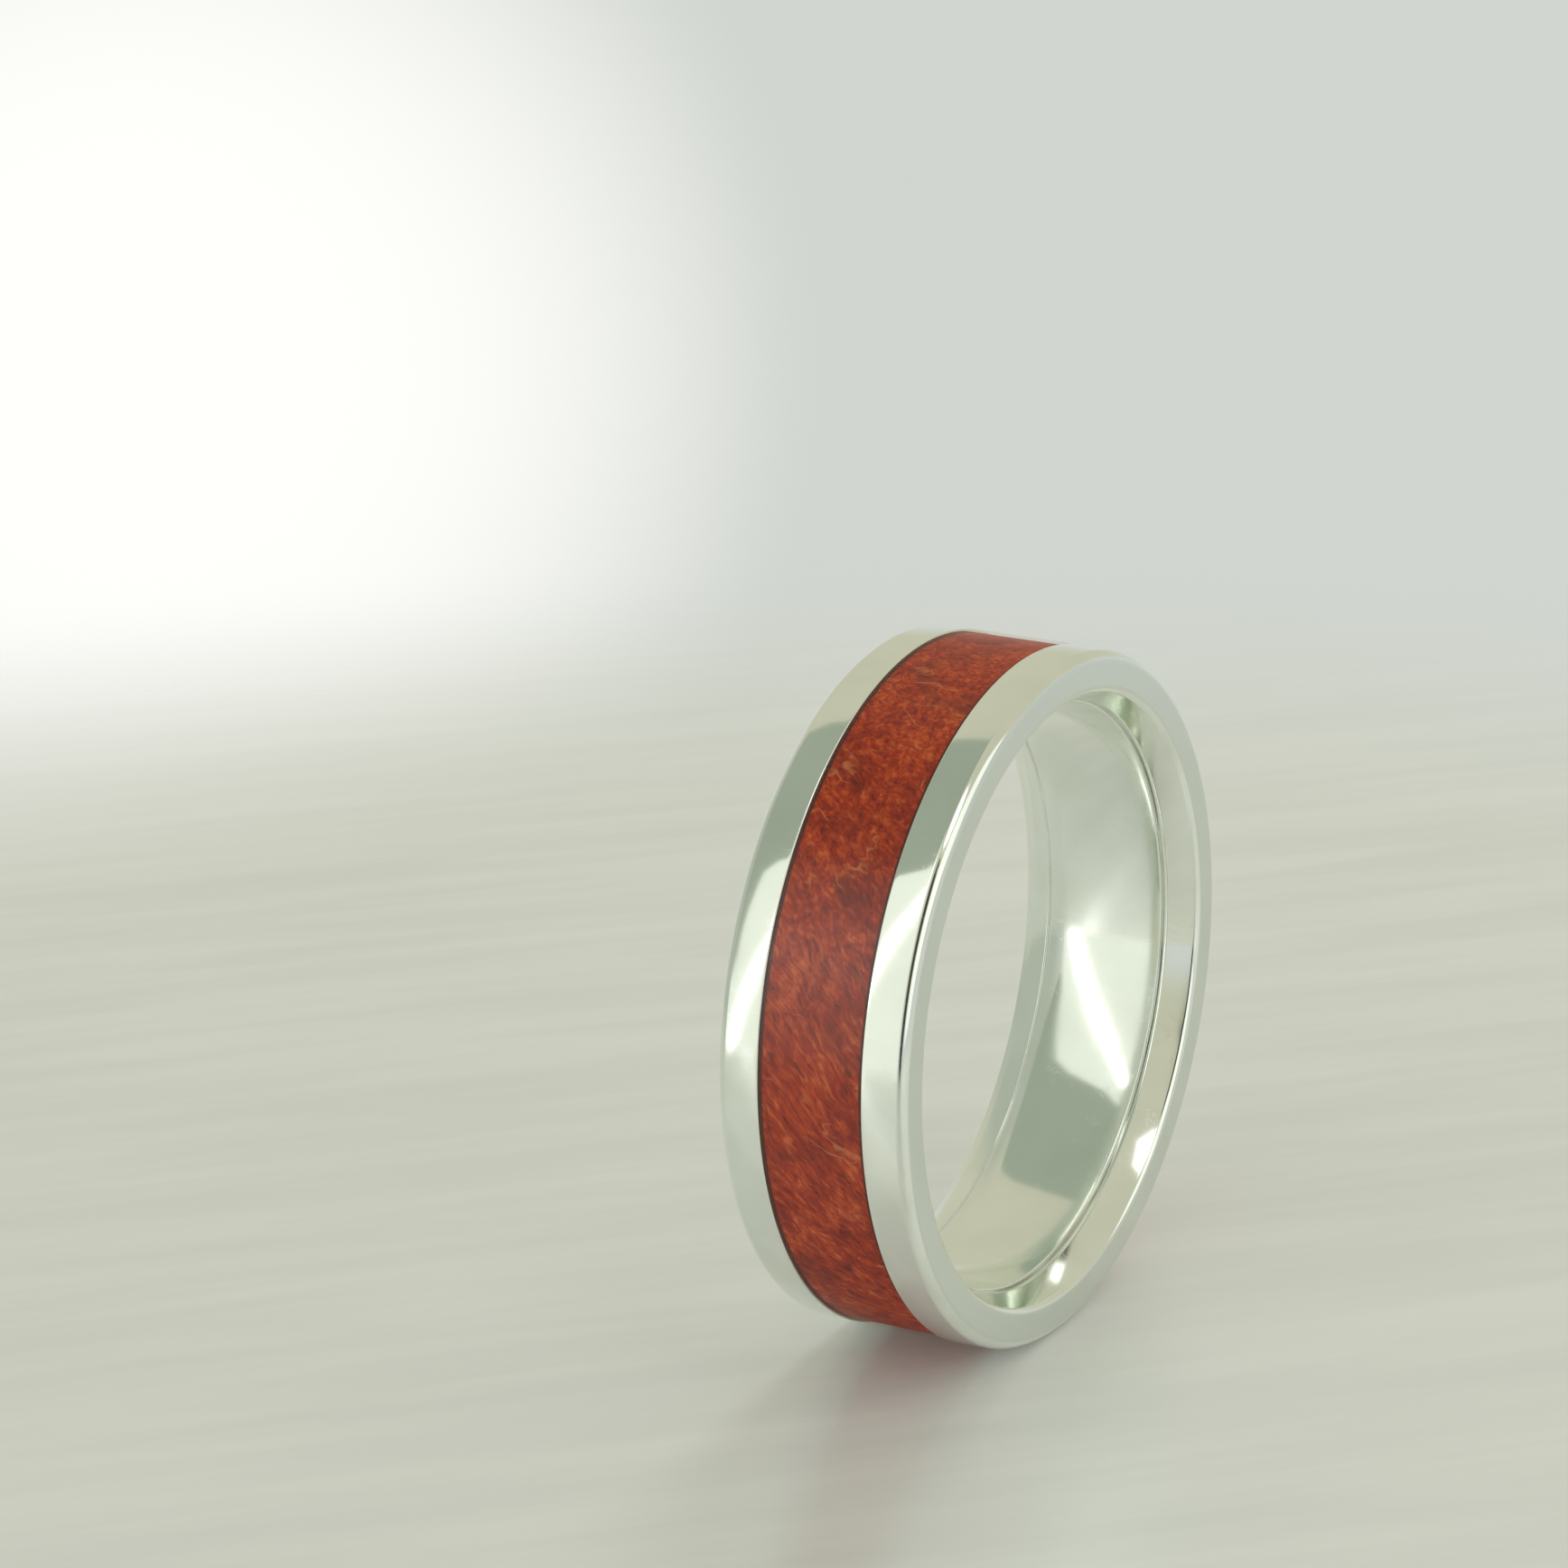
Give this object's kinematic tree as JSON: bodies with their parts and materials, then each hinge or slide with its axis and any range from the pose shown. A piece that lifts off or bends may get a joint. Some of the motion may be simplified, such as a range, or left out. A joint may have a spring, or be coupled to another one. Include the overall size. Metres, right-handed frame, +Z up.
{
  "type": "wedding band",
  "caption": "Upright flat-profile finger ring in polished silver with a central burl wood inlay band, eased edges and a comfort-fit bore.",
  "frame": {"origin": "centre of the finger hole, midway between the side faces", "axes": "+X along the finger hole, out of the right side face; +Z up with the ring standing on its rim; -Y towards the viewer"},
  "size_m": [0.007, 0.0242, 0.0242],
  "materials": {
    "bore_silver": "mirror-polished sterling silver",
    "silver_solder": "silver solder, slightly greyer than the band",
    "band_silver": "mirror-polished sterling silver with fine wear",
    "dark_glue": "cured dark brown glue",
    "red_burl": "deep orange-red burl, sanded fine",
    "clear_finish": "glossy clear coat polished level with the silver"
  },
  "bodies": {
    "root": {"comfort_sleeve": "bore_silver", "right_solder_seam": "silver_solder", "left_solder_seam": "silver_solder", "right_edge_ring": "band_silver", "left_edge_ring": "band_silver", "glue_bed": "dark_glue", "right_glue_line": "dark_glue", "left_glue_line": "dark_glue", "wood_inlay": "red_burl", "clear_coat": "clear_finish"}
  },
  "joints": []
}
